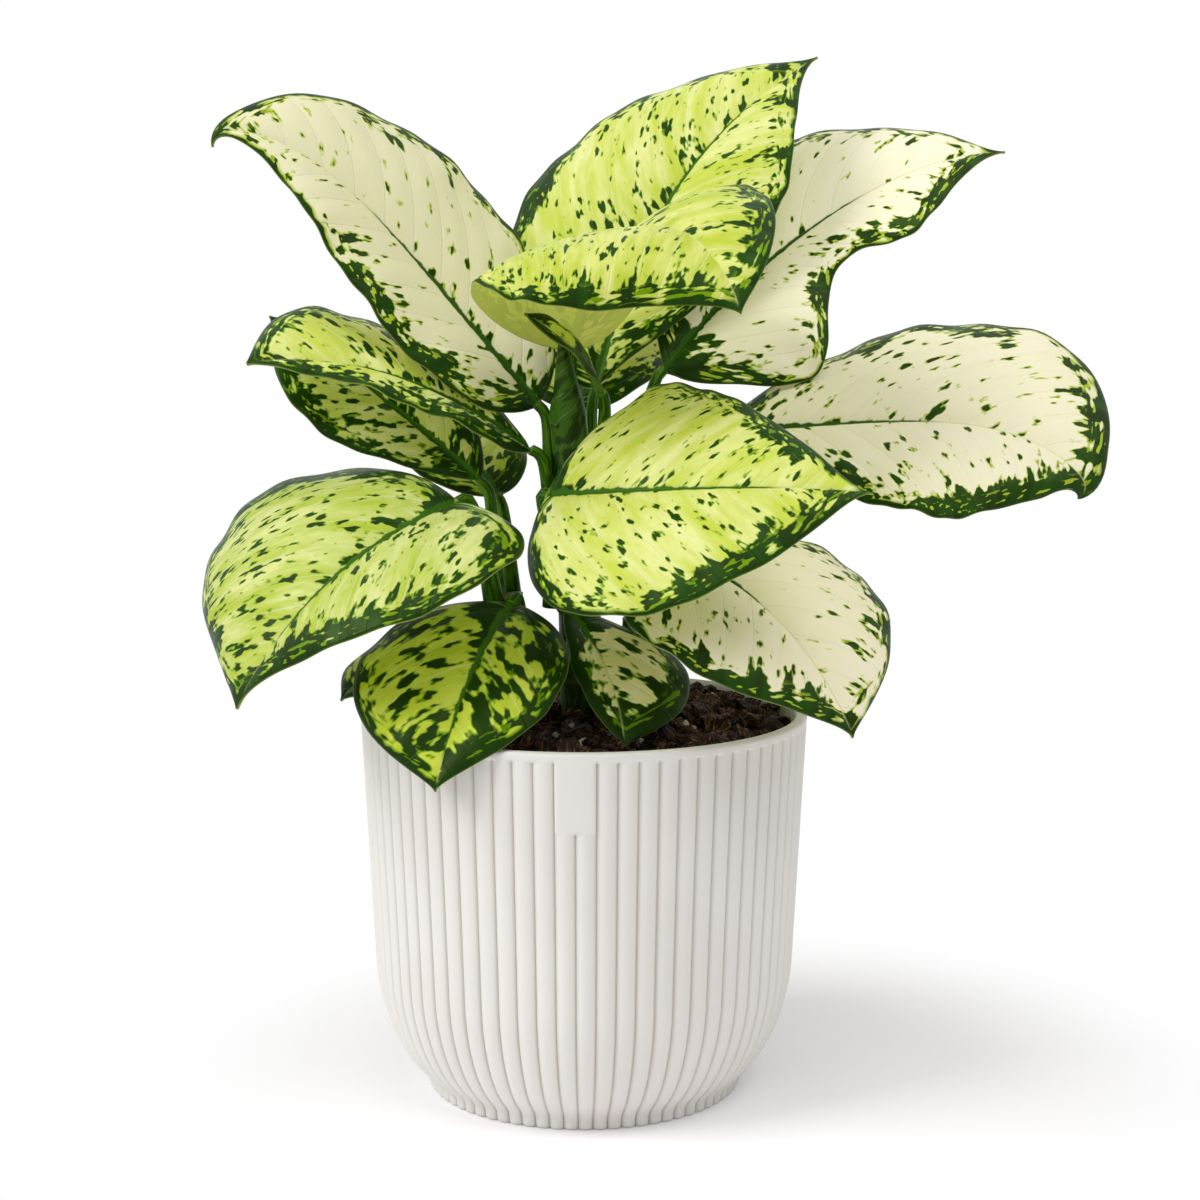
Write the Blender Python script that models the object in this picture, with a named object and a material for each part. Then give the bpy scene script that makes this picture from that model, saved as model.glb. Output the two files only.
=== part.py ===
"""A potted Chinese evergreen: a ribbed pot, its soil, three short stems and the leaves they carry.

Metres and degrees, +Z up. The origin is on the surface that the pot stands on, on the pot's axis,
and the pot's blank label panel faces -Y. Each leaf is given by its root on a stem, the length and
lean of its petiole, and how the blade runs from there: a heading round +Z from +X, a rise above the
level, a droop towards the tip, and a roll about the midrib that lifts the right half of the blade.
"""

import math

import bpy
import numpy as np

# Pot: a tapered wall above a bowl that is a quarter of a superellipse, blended into a straight foot
pot_height = 0.128
rim_radius = 0.0751
wall_taper = 0.05           # loss of radius for each metre down the wall
bowl_height = 0.038
bowl_depth = 0.018          # how far the bowl draws in below the wall
bowl_power = 1.8            # 2 is an ellipse, lower is leaner
bowl_steps = 5
foot_radius = 0.0520
foot_height = 0.0050
foot_blend = 0.0080         # how near the foot's radius the bowl starts to blend into it
pot_wall = 0.0039
inner_rise = 0.0020         # how far the inside of the bowl sits above its outside
pot_floor = 0.0050
rib_count = 70
rib_depth = 0.0010
first_groove = -0.03        # radians from the front to the groove under the panel
panel_bottom = 0.1025
panel_top = 0.1260
panel_step = 0.0010         # height of the slope from grooved to smooth
rim_round = 0.0006

# Soil
seat_gap = 0.0003
facet_play = 0.0004         # room for the flats of the soil's sides inside the pot
soil_edge = 0.1232
soil_crown = 0.1270
soil_sides = 48
socket_rise = 0.010         # how far the cutter of a stem's socket passes the soil's crown
crown_rings = (0.8, 0.55, 0.3)

# Leaves
blade_thickness = 0.0009
blade_bulge = 0.09          # rise of each half between midrib and edge, as a share of its width
tip_onset = 12              # higher keeps the point of the tip shorter
ripple = 0.0010             # rise and fall of the edges
ripple_waves = 28           # waves for each metre of edge
petiole_radius = 0.0023
petiole_taper = 0.2
petiole_clasp = 0.008       # how far the foot of a petiole lies along its stem
petiole_run_in = 0.004      # length in line with the midrib before the blade
petiole_open = 0.25         # radians between the two edges of the petiole's ring of points
midrib_radius = 0.0016
blade_rows = 10
last_row = 0.985            # share of the length at the last full row, just short of the point
half_columns = 3
petiole_rings = 6
stem_sides = 16
stem_rings = 7

# Bits lying on the soil
bark_count = 14
bark_size = (0.0085, 0.0058, 0.0022)
perlite_count = 5
perlite_size = (0.0034, 0.0030, 0.0024)
bits_ring = (0.028, 0.062)  # inner and outer radius of where they lie
bits_apart = 0.0105
stem_clearance = 0.0145
bits_lift = 0.0006
bits_turn = 1.1             # radians from one to the next
size_steps = (1, 0.95, 0.9, 0.85)
# Corners of the foot and of the top of one, as shares of its length and width
chip_foot = ((-.5, -.5), (.45, -.42), (.5, .4), (-.4, .5))
chip_top = ((-.32, -.3), (.28, -.34), (.36, .22), (-.3, .34))
chip_wedge = 0.3            # how much thicker it is at one end
golden_ratio = (math.sqrt(5) - 1) / 2
golden_angle = math.pi * (3 - math.sqrt(5))

green = (.10, .24, .03, 1)
pale_green = (.52, .65, .18, 1)
cream = (.75, .74, .55, 1)
dark_green = (.03, .10, .02, 1)
pot_white = (.84, .83, .79, 1)
soil_brown = (.05, .022, .011, 1)
bark_brown = (.10, .045, .022, 1)
perlite_white = (.86, .86, .84, 1)

sharp_angle = 30            # degrees between faces that meet in a visible edge
curve_steps = 40            # fine steps between two points of a smooth curve

# Foot and top of each stem's axis, and its radius at each
stems = {
    "stem_main": dict(foot=(.000, .006, .113), top=(-.003, -.003, .204), radii=(.0080, .0062)),
    "stem_left": dict(foot=(-.014, -.003, .113), top=(-.025, -.009, .168), radii=(.0062, .0048)),
    "stem_right": dict(foot=(.013, -.004, .113), top=(.018, -.010, .160), radii=(.0062, .0048)),
}

# root: stem, height at which the petiole leaves it, direction round it from +X
# stalk: length of the petiole above its clasp, its lean from the upright, direction it leans in
# late: higher keeps the droop for the end of the blade
# left, right: width of that half, share of the length at which it is widest, how pointed its ends are
# swell: how much the right half swells and narrows, where a swell peaks, and how far apart two peaks are
# lobe: how far the foot of the blade reaches back, as a share of the width
# twist: how much the roll changes from base to tip
leaves = {
    "leaf_top_left": dict(
        root=("stem_main", .178, 170), stalk=(.045, 5, 185),
        length=.145, heading=180, sway=10, rise=50, droop=70, late=5, roll=50,
        left=(.028, .35, 1.5), right=(.042, .45, 1.3), colour="cream"),
    "leaf_top_centre": dict(
        root=("stem_main", .172, 60), stalk=(.055, 5, 75),
        length=.150, heading=60, sway=-55, rise=65, droop=35, late=1.5, roll=-30,
        left=(.050, .45, 1.4), right=(.040, .55, 2.3), colour="pale"),
    "leaf_arched": dict(
        root=("stem_main", .186, 115), stalk=(.055, 5, 305),
        length=.120, heading=305, sway=0, rise=80, droop=145, late=1, roll=0, twist=-40,
        left=(.035, .45, 1.2), right=(.060, .45, 1.3), colour="pale"),
    "leaf_top_right": dict(
        root=("stem_main", .168, 10), stalk=(.070, 20, 35),
        length=.150, heading=45, sway=-65, rise=40, droop=40, late=3, roll=-40,
        left=(.046, .50, 2.3), right=(.034, .35, 1.2), swell=(.35, .80, .60), colour="cream"),
    "leaf_right": dict(
        root=("stem_right", .140, 20), stalk=(.075, 15, 40),
        length=.140, heading=355, sway=-30, rise=5, droop=65, late=4, roll=-40,
        left=(.050, .60, 1.9), right=(.042, .65, 1.4), colour="cream"),
    "leaf_front_right": dict(
        root=("stem_main", .150, 268), stalk=(.050, 25, 245),
        length=.115, heading=310, sway=40, rise=5, droop=10, late=3, roll=-45,
        left=(.046, .25, 1.3), right=(.050, .40, 1.7), colour="pale"),
    "leaf_low_right": dict(
        root=("stem_right", .142, 300), stalk=(.035, 15, 310),
        length=.095, heading=315, sway=10, rise=-5, droop=60, late=1, roll=-15,
        left=(.042, .50, 1.3), right=(.045, .40, 1.5), colour="cream"),
    "leaf_left_fold": dict(
        root=("stem_main", .164, 215), stalk=(.045, 10, 195),
        length=.100, heading=195, sway=0, rise=35, droop=45, late=1.5, roll=35,
        left=(.012, .40, 1.2), right=(.030, .75, 1.2), colour="pale"),
    "leaf_left": dict(
        root=("stem_left", .148, 145), stalk=(.050, 10, 135),
        length=.090, heading=160, sway=30, rise=40, droop=5, late=1, roll=45,
        left=(.027, .65, 1.5), right=(.022, .50, 1.4), colour="pale"),
    "leaf_left_back": dict(
        root=("stem_left", .144, 95), stalk=(.050, 20, 115),
        length=.110, heading=125, sway=0, rise=40, droop=60, late=1, roll=10,
        left=(.026, .40, 1.4), right=(.026, .40, 1.4), colour="pale"),
    "leaf_low_left": dict(
        root=("stem_left", .152, 230), stalk=(.045, 25, 230),
        length=.100, heading=215, sway=-25, rise=-15, droop=50, late=1, roll=20, lobe=.5,
        left=(.046, .30, 2.0), right=(.066, .60, 1.4), colour="pale"),
    "leaf_front_low": dict(
        root=("stem_left", .138, 275), stalk=(.025, 30, 255),
        length=.075, heading=245, sway=0, rise=-25, droop=40, late=1, roll=10,
        left=(.030, .40, 1.5), right=(.037, .50, 1.4), colour="dark"),
    "leaf_small_front": dict(
        root=("stem_right", .134, 225), stalk=(.030, 40, 215),
        length=.055, heading=315, sway=-35, rise=-30, droop=30, late=1, roll=0,
        left=(.027, .55, 1.4), right=(.011, .50, 1.2), colour="dark"),
    "leaf_low_back": dict(
        root=("stem_right", .130, 115), stalk=(.035, 70, 75),
        length=.080, heading=55, sway=-5, rise=5, droop=35, late=1, roll=-10,
        left=(.022, .40, 1.4), right=(.024, .40, 1.4), colour="dark"),
    "leaf_low_left_back": dict(
        root=("stem_left", .130, 185), stalk=(.015, 45, 160),
        length=.050, heading=190, sway=20, rise=10, droop=55, late=1, roll=10,
        left=(.019, .45, 1.3), right=(.019, .45, 1.3), colour="dark"),
    "leaf_back": dict(
        root=("stem_main", .158, 95), stalk=(.065, 20, 90),
        length=.105, heading=85, sway=-10, rise=50, droop=75, late=1, roll=-5,
        left=(.030, .40, 1.4), right=(.030, .40, 1.4), colour="pale"),
    "leaf_back_right": dict(
        root=("stem_right", .148, 85), stalk=(.060, 40, 60),
        length=.090, heading=50, sway=-5, rise=30, droop=70, late=1, roll=-10,
        left=(.027, .40, 1.4), right=(.027, .40, 1.4), colour="pale"),
    "leaf_young": dict(
        root=("stem_main", .188, 335), stalk=(.040, 10, 275),
        length=.040, heading=250, sway=-80, rise=50, droop=20, late=1, roll=40,
        left=(.005, .50, 1.2), right=(.009, .50, 1.2), colour="dark"),
}

# The newest leaf, rolled into a spear on the tip of the main stem: its axis and radii
spear_foot = (-.003, -.004, .2045)
spear_top = (-.007, -.014, .252)
spear_radii = (.0050, .0062, .0060, .0036, .0012)
spear_sides = 12
spear_rings = 9


def clear_scene():
    for item in list(bpy.data.objects):
        bpy.data.objects.remove(item, do_unlink=True)


def finish(name, colour, roughness):
    material = bpy.data.materials.new(name)
    material.use_nodes = True
    shader = material.node_tree.nodes["Principled BSDF"]
    shader.inputs["Base Color"].default_value = colour
    shader.inputs["Roughness"].default_value = roughness
    shader.inputs["Metallic"].default_value = 0.0
    return material


def solid(name, points, faces, material, smooth=True):
    mesh = bpy.data.meshes.new(name)
    mesh.from_pydata([tuple(map(float, point)) for point in points], [], faces)
    mesh.update()
    if smooth:
        mesh.shade_smooth()
        mesh.set_sharp_from_angle(angle=math.radians(sharp_angle))
    mesh.materials.append(material)
    item = bpy.data.objects.new(name, mesh)
    bpy.context.scene.collection.objects.link(item)
    return item


def unit(vector):
    return vector / np.linalg.norm(vector, axis=-1, keepdims=True)


def compass(degrees):
    return np.array([math.cos(math.radians(degrees)), math.sin(math.radians(degrees)), 0.0])


def along(points, fractions):
    """Points at these fractions of the length of a smooth curve through the given points."""
    points = np.asarray(points, float)
    knots = np.concatenate([[0], np.cumsum(np.sqrt(np.linalg.norm(np.diff(points, axis=0), axis=1)))])
    slopes = np.gradient(points, knots, axis=0)
    fine = np.linspace(0, knots[-1], curve_steps * len(points))
    span = np.clip(np.searchsorted(knots, fine, side="right") - 1, 0, len(points) - 2)
    width = (knots[span + 1] - knots[span])[:, None]
    t = (fine - knots[span])[:, None] / width
    curve = ((2 * t**3 - 3 * t**2 + 1) * points[span] + (t**3 - 2 * t**2 + t) * width * slopes[span]
             + (3 * t**2 - 2 * t**3) * points[span + 1] + (t**3 - t**2) * width * slopes[span + 1])
    length = np.concatenate([[0], np.cumsum(np.linalg.norm(np.diff(curve, axis=0), axis=1))])
    wanted = np.asarray(fractions) * length[-1]
    return np.stack([np.interp(wanted, length, curve[:, axis]) for axis in range(3)], axis=1)


def rings_to_solid(name, rings, material):
    """One closed solid from rings of equal length, with a flat cap at the start and a point at the end."""
    size = len(rings[0])
    points = [point for ring in rings for point in ring] + [np.mean(rings[-1], axis=0)]
    faces = [tuple(reversed(range(size)))]
    for row in range(len(rings) - 1):
        for k in range(size):
            a, b = row * size + k, row * size + (k + 1) % size
            faces.append((a, b, b + size, a + size))
    last, tip = (len(rings) - 1) * size, len(points) - 1
    faces += [(last + k, last + (k + 1) % size, tip) for k in range(size)]
    return solid(name, points, faces, material)


def tube_rings(foot, top, radii, sides, count):
    """Rings round a straight axis, with radii given at even steps along it."""
    foot, top = np.array(foot), np.array(top)
    ahead = unit(top - foot)
    right = unit(np.cross((0, 1, 0), ahead))
    lift = np.cross(ahead, right)
    steps = np.linspace(0, 1, count)
    radius = np.interp(steps, np.linspace(0, 1, len(radii)), radii)
    turn = np.linspace(0, 2 * math.pi, sides, endpoint=False)
    return [[foot + (top - foot) * step + size * (math.cos(a) * right + math.sin(a) * lift) for a in turn]
            for step, size in zip(steps, radius)]


def at_height(stem, height):
    """Centre and radius of a stem at a height."""
    foot, top = np.array(stems[stem]["foot"]), np.array(stems[stem]["top"])
    share = np.clip((height - foot[2]) / (top[2] - foot[2]), 0, 1)
    low, high = stems[stem]["radii"]
    return foot + (top - foot) * share, low + (high - low) * share


def petiole_start(root):
    """Two points that lay the foot of a petiole along its stem, with the seat gap between them."""
    stem, height, degrees = root
    start = []
    for level in (height, height + petiole_clasp):
        centre, radius = at_height(stem, level)
        start.append(centre + compass(degrees) * (radius + petiole_radius + seat_gap))
    return start


def blade_base(leaf):
    """Where the petiole ends and the blade begins."""
    length, lean, direction = leaf["stalk"]
    lean = math.radians(lean)
    along_stalk = compass(direction) * math.sin(lean) + np.array([0, 0, math.cos(lean)])
    return petiole_start(leaf["root"])[-1] + length * along_stalk


def half_width(fraction, widest, pointed):
    """Share of a half's full width at a fraction of the blade's length."""
    low, high = pointed * widest, pointed * (1 - widest)
    outline = (fraction / widest) ** low * ((1 - fraction) / (1 - widest)) ** high
    return outline * (1 - fraction ** tip_onset)


def swelling(leaf, half, rows):
    """Factor that makes the right half of a leaf with a swell bulge, narrow and bulge again."""
    if half == "left" or "swell" not in leaf:
        return np.ones(len(rows))
    amount, peak, period = leaf["swell"]
    return 1 + amount * np.cos(2 * math.pi * (rows - peak) / period)


def midrib_frame(leaf, steps=3 * curve_steps):
    """Points along the midrib at even steps, with the forward, right and up directions there."""
    share = np.linspace(0, 1, steps)
    heading = np.radians(leaf["heading"] + leaf["sway"] * share)
    rise = np.radians(leaf["rise"] - leaf["droop"] * share ** leaf["late"])
    roll = np.radians(leaf["roll"] + leaf.get("twist", 0) * share)[:, None]
    level_right = np.stack([np.sin(heading), -np.cos(heading), np.zeros(steps)], axis=1)
    forward = np.stack([np.cos(rise) * np.cos(heading), np.cos(rise) * np.sin(heading), np.sin(rise)], axis=1)
    right = np.cos(roll) * level_right + np.sin(roll) * np.cross(level_right, forward)
    step = (forward[1:] + forward[:-1]) / 2 * leaf["length"] / (steps - 1)
    midrib = blade_base(leaf) + np.concatenate([np.zeros((1, 3)), np.cumsum(step, axis=0)])
    return share, midrib, forward, right, np.cross(right, forward)


def blade_surface(leaf, rows):
    """Grid of points on the blade, rows from base to tip, columns from the left edge to the right."""
    share, *fields = midrib_frame(leaf)
    midrib, forward, right, up = (
        np.stack([np.interp(rows, share, field[:, axis]) for axis in range(3)], axis=1) for field in fields)
    back = forward * leaf.get("lobe", 0) * (1 - rows[:, None]) ** 3
    wave = up * ripple * np.sin(2 * math.pi * ripple_waves * rows * leaf["length"])[:, None]
    out = np.linspace(0, 1, half_columns + 1)[1:]
    grid = []
    for side, half in ((-1, "left"), (1, "right")):
        width, widest, pointed = leaf[half]
        share = (half_width(rows, widest, pointed) * swelling(leaf, half, rows))[:, None]
        reach = [(side * right - back) * t + up * blade_bulge * 4 * t * (1 - t) for t in out]
        columns = [midrib + share * (width * r + side * wave * t**2) for r, t in zip(reach, out)]
        grid.append(columns[::-1] if side < 0 else columns)
    return np.stack([*grid[0], midrib, *grid[1]], axis=1)


def leaf_rings(leaf):
    """Rings of a leaf from the foot of its petiole to the tip of its blade."""
    rows = np.linspace(0, last_row, blade_rows + 1)[1:]
    grid = blade_surface(leaf, rows)
    upward = unit(np.cross(np.gradient(grid, axis=1), np.gradient(grid, axis=0)))
    columns = 2 * half_columns + 1
    ridge = (np.arange(columns) == half_columns) * midrib_radius
    under = blade_thickness / 2 + ridge[None, :] * (1 - rows)[:, None]
    top = grid + upward * blade_thickness / 2
    bottom = grid - upward * under[:, :, None]
    blade = [np.concatenate([top[row], bottom[row][::-1]]) for row in range(blade_rows)]

    _, midrib, forward, side, _ = midrib_frame(leaf)
    base = midrib[0]
    bends = [*petiole_start(leaf["root"]), base - forward[0] * petiole_run_in, base]
    path = along(bends, np.linspace(0, 1, petiole_rings))
    heading = unit(np.gradient(path, axis=0))
    right = side[0]
    half_turn = math.pi - petiole_open
    angles = np.concatenate([np.linspace(half_turn, petiole_open, columns),
                             np.linspace(-petiole_open, -half_turn, columns)])
    petiole = []
    for ring in range(petiole_rings - 1, -1, -1):
        right = unit(right - heading[ring] * np.dot(right, heading[ring]))
        lift = np.cross(right, heading[ring])
        radius = petiole_radius * (1 - petiole_taper * ring / (petiole_rings - 1))
        petiole.append([path[ring] + radius * (math.cos(a) * right + math.sin(a) * lift) for a in angles])
    return petiole[::-1] + blade


def outer_radius(height):
    """Radius of the pot at the tops of its ribs."""
    above_foot = min(max((height - foot_height) / bowl_height, 0), 1)
    draw_in = bowl_depth * (1 - (1 - (1 - above_foot) ** bowl_power) ** (1 / bowl_power))
    bowl = rim_radius - wall_taper * (pot_height - height) - draw_in
    nearness = max(1 - abs(bowl - foot_radius) / foot_blend, 0)
    return max(bowl, foot_radius) + nearness ** 2 * foot_blend / 4


def bowl_levels():
    """Heights up the bowl, from just above the foot to the wall, closest together at the foot."""
    turns = [math.pi / 2 * k / bowl_steps for k in range(1, bowl_steps + 1)]
    return [foot_height + bowl_height * (1 - math.cos(turn)) for turn in turns]


def inner_levels():
    return [pot_floor, *[level + inner_rise for level in bowl_levels()]]


def inner_radius(height):
    return outer_radius(height - inner_rise) - pot_wall


def make_pot(material):
    columns = 2 * rib_count
    turn = first_groove + np.arange(columns) * math.pi / rib_count
    levels = (foot_height, *bowl_levels(), panel_bottom, panel_bottom + panel_step, panel_top)
    outline = [(0, outer_radius(0) - rim_round), (rim_round, outer_radius(rim_round))]
    outline += [(z, outer_radius(z)) for z in levels]
    rows = []
    for height, radius in outline:
        groove = rib_depth * (np.arange(columns) % 2 == 0)
        if height > panel_bottom:
            groove[0] = 0
        rows.append([(height, radius - depth) for depth in groove])
    rim_inside = rim_radius - pot_wall
    rim = ((panel_top + panel_step, rim_radius), (pot_height - rim_round, rim_radius),
           (pot_height, rim_radius - rim_round), (pot_height, rim_inside + rim_round))
    rows += [[corner] * columns for corner in rim]
    inner = [(pot_height - rim_round, rim_inside), *[(z, inner_radius(z)) for z in inner_levels()[::-1]]]

    def place(height, radius, angle):
        return (radius * math.sin(angle), -radius * math.cos(angle), height)

    points = [place(h, r, a) for row in rows for (h, r), a in zip(row, turn)]
    inner_start = len(points)
    points += [place(h, r, a) for h, r in inner for a in turn[::2]]
    faces = [tuple(reversed(range(columns)))]
    for row in range(len(rows) - 1):
        for k in range(columns):
            a, b = row * columns + k, row * columns + (k + 1) % columns
            faces.append((a, b, b + columns, a + columns))
    edge = (len(rows) - 1) * columns
    for k in range(rib_count):
        a, b, c = edge + 2 * k, edge + 2 * k + 1, edge + (2 * k + 2) % columns
        d, e = inner_start + k, inner_start + (k + 1) % rib_count
        faces += [(a, b, d), (b, c, e, d)]
    for row in range(len(inner) - 1):
        for k in range(rib_count):
            a = inner_start + row * rib_count + k
            b = inner_start + row * rib_count + (k + 1) % rib_count
            faces.append((a, b, b + rib_count, a + rib_count))
    last = inner_start + (len(inner) - 1) * rib_count
    faces.append(tuple(last + k for k in range(rib_count)))
    return solid("pot", points, faces, material)


def soil_radius(height):
    return inner_radius(height) - seat_gap - facet_play


def soil_level(radius):
    return soil_edge + (soil_crown - soil_edge) * (1 - (radius / soil_radius(soil_edge)) ** 2)


def make_soil(material):
    outline = [(soil_radius(inner_levels()[0]), inner_levels()[0] + seat_gap)]
    outline += [(soil_radius(z), z) for z in (*inner_levels()[1:], soil_edge)]
    outline += [(r, soil_level(r)) for r in soil_radius(soil_edge) * np.array(crown_rings)]
    turn = np.linspace(0, 2 * math.pi, soil_sides, endpoint=False)
    rings = [[(r * math.cos(a), r * math.sin(a), z) for a in turn] for r, z in outline]
    soil = rings_to_solid("potting_soil", rings, material)
    for name, stem in stems.items():
        foot, top = np.array(stem["foot"]), np.array(stem["top"])
        radius = stem["radii"][0] + seat_gap
        below = foot - unit(top - foot) * seat_gap
        above = foot + (top - foot) * (soil_crown + socket_rise - foot[2]) / (top[2] - foot[2])
        rings = tube_rings(below, above, (radius,), stem_sides, 2)
        cutter = rings_to_solid("socket_" + name, rings, material)
        cutter.hide_render = True
        cutter.display_type = "WIRE"
        cut = soil.modifiers.new("socket_" + name, "BOOLEAN")
        cut.operation = "DIFFERENCE"
        cut.object = cutter
    return soil


def make_stem(name, material):
    stem = stems[name]
    rings = tube_rings(stem["foot"], stem["top"], stem["radii"], stem_sides, stem_rings)
    return rings_to_solid(name, rings, material)


def make_rolled_leaf(material):
    rings = tube_rings(spear_foot, spear_top, spear_radii, spear_sides, spear_rings)
    return rings_to_solid("rolled_leaf", rings, material)


def make_chip(name, centre, size, turn, material):
    """A flat wedge lying on the slope of the soil."""
    length, width, height = size
    radius = math.hypot(*centre)
    slope = math.atan2(2 * (soil_crown - soil_edge) * radius, soil_radius(soil_edge) ** 2)
    outward = unit(np.array([*centre, 0.0]))
    tangent = np.array([-outward[1], outward[0], 0.0])
    downhill = outward * math.cos(slope) - np.array([0, 0, math.sin(slope)])
    normal = np.cross(downhill, tangent)
    first = downhill * math.cos(turn) + tangent * math.sin(turn)
    second = np.cross(normal, first)
    ground = np.array([*centre, soil_level(radius) + bits_lift])
    first, second, normal = first * length, second * width, normal * height
    points = [ground + first * a + second * b for a, b in chip_foot]
    points += [ground + first * a + second * b + normal * (1 + chip_wedge * a) for a, b in chip_top]
    faces = [(3, 2, 1, 0), (4, 5, 6, 7), (0, 1, 5, 4), (1, 2, 6, 5), (2, 3, 7, 6), (3, 0, 4, 7)]
    return solid(name, points, faces, material, smooth=False)


def scatter(count):
    """Places spread over the soil, clear of the stems and of each other."""
    inner, outer = bits_ring
    places = []
    k = 0
    while len(places) < count:
        k += 1
        radius = math.sqrt(inner**2 + (outer**2 - inner**2) * (k * golden_ratio % 1))
        spot = radius * compass(math.degrees(k * golden_angle))[:2]
        from_stems = [np.linalg.norm(spot - at_height(stem, soil_crown)[0][:2]) for stem in stems]
        from_others = [np.linalg.norm(spot - other) for other in places]
        if min(from_stems) > stem_clearance and min(from_others, default=math.inf) > bits_apart:
            places.append(spot)
    return places


def main():
    clear_scene()
    plastic = finish("matte_white_plastic", pot_white, 0.5)
    soil = finish("potting_soil", soil_brown, 0.95)
    bark = finish("bark", bark_brown, 0.9)
    perlite = finish("perlite", perlite_white, 0.8)
    stem_skin = finish("stem_skin", green, 0.5)
    blades = {"pale": finish("pale_green_blade", pale_green, 0.4), "cream": finish("cream_blade", cream, 0.4),
              "dark": finish("dark_green_blade", dark_green, 0.4)}

    make_pot(plastic)
    make_soil(soil)
    for name in stems:
        make_stem(name, stem_skin)
    make_rolled_leaf(blades["dark"])
    for name, leaf in leaves.items():
        rings_to_solid(name, leaf_rings(leaf), blades[leaf["colour"]])
    spots = scatter(bark_count + perlite_count)
    for k, spot in enumerate(spots[:bark_count]):
        size = [size_steps[k % len(size_steps)] * side for side in bark_size]
        make_chip(f"bark_chip_{k + 1:02d}", spot, size, bits_turn * k, bark)
    for k, spot in enumerate(spots[bark_count:]):
        make_chip(f"perlite_{k + 1}", spot, perlite_size, bits_turn * k, perlite)


main()
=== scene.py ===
import math

import bmesh
import bpy
import numpy as np
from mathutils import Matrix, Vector, noise


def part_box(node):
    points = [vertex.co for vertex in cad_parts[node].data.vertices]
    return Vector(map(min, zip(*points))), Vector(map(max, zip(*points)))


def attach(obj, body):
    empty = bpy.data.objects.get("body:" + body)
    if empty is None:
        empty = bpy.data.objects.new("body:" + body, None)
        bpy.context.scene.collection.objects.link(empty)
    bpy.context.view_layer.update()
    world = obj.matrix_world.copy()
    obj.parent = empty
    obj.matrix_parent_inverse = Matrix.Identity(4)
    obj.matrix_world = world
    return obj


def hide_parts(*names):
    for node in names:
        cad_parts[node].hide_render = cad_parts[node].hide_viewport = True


# lengths in metres, angles in degrees, tones in screen levels
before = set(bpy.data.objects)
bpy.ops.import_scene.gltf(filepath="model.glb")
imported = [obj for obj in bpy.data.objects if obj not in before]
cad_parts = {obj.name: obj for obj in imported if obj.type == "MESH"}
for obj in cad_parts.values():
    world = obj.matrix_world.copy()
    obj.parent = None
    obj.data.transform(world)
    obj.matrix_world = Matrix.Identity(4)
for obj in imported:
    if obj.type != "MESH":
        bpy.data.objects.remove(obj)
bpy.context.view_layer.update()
print("frame loaded")


def tone(red, green, blue):
    # linear colour of a screen colour
    levels = [level / 255 for level in (red, green, blue)]
    return (*[v / 12.92 if v <= .04045 else ((v + .055) / 1.055) ** 2.4 for v in levels], 1.0)


def feed(tree, node, values):
    # each value is a socket to link or a constant
    for key, value in values.items():
        if isinstance(value, bpy.types.NodeSocket):
            tree.links.new(value, node.inputs[key])
        else:
            node.inputs[key].default_value = value


def add(tree, kind, inputs=None, **settings):
    made = tree.nodes.new("ShaderNode" + kind)
    for name, value in settings.items():
        setattr(made, name, value)
    feed(tree, made, inputs or {})
    return made


def maths(tree, operation, *values):
    return add(tree, "Math", dict(enumerate(values)), operation=operation).outputs[0]


def times(tree, first, second):
    return maths(tree, "MULTIPLY", first, second)


def minus(tree, first, second):
    return maths(tree, "SUBTRACT", first, second)


def scaled(tree, value, factor, shift):
    # value times factor, plus shift
    return maths(tree, "MULTIPLY_ADD", value, factor, shift)


def smooth(tree, value, low, high, start=0.0, end=1.0):
    inputs = {"Value": value, "From Min": low, "From Max": high, "To Min": start, "To Max": end}
    return add(tree, "MapRange", inputs, interpolation_type="SMOOTHSTEP").outputs[0]


def mixed(tree, share, first, second):
    return add(tree, "Mix", {0: share, 6: first, 7: second}, data_type="RGBA").outputs[2]


def split(tree, vector):
    return add(tree, "SeparateXYZ", {0: vector}).outputs


def joined(tree, x, y, z):
    return add(tree, "CombineXYZ", {0: x, 1: y, 2: z}).outputs[0]


def stored(tree, name):
    return add(tree, "Attribute", attribute_name=name).outputs["Vector"]


def clouds(tree, vector, scale, detail=2.0, roughness=.5, distortion=0.0):
    inputs = {"Vector": vector, "Scale": scale, "Detail": detail, "Roughness": roughness,
              "Distortion": distortion}
    return add(tree, "TexNoise", inputs).outputs[0]


def newGroup(name, inputs, outputs):
    group = bpy.data.node_groups.new(name, "ShaderNodeTree")
    for way, sockets in (("INPUT", inputs), ("OUTPUT", outputs)):
        for label, kind in sockets.items():
            group.interface.new_socket(label, in_out=way, socket_type="NodeSocket" + kind)
    return group, group.nodes.new("NodeGroupInput").outputs, group.nodes.new("NodeGroupOutput").inputs


def newMaterial(name, specular):
    material = bpy.data.materials.new(name)
    material.use_nodes = True
    tree = material.node_tree
    shader = tree.nodes["Principled BSDF"]
    shader.inputs["Specular IOR Level"].default_value = specular
    return material, tree, shader


def setBump(tree, shader, height, strength, distance):
    bump = add(tree, "Bump", {"Height": height, "Strength": strength, "Distance": distance})
    tree.links.new(bump.outputs[0], shader.inputs["Normal"])


def dress(tree, shader, settings, colour, mask, height):
    # the mask leads the roughness from one value to the other
    roughness = smooth(tree, mask, .3, .7, *settings["rough"])
    feed(tree, shader, {"Base Color": colour, "Roughness": roughness})
    setBump(tree, shader, height, *settings["bump"])


def unit(vector):
    return vector / np.linalg.norm(vector, axis=-1, keepdims=True)


def compass(degrees):
    return np.array([math.cos(math.radians(degrees)), math.sin(math.radians(degrees)), 0.0])


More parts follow.
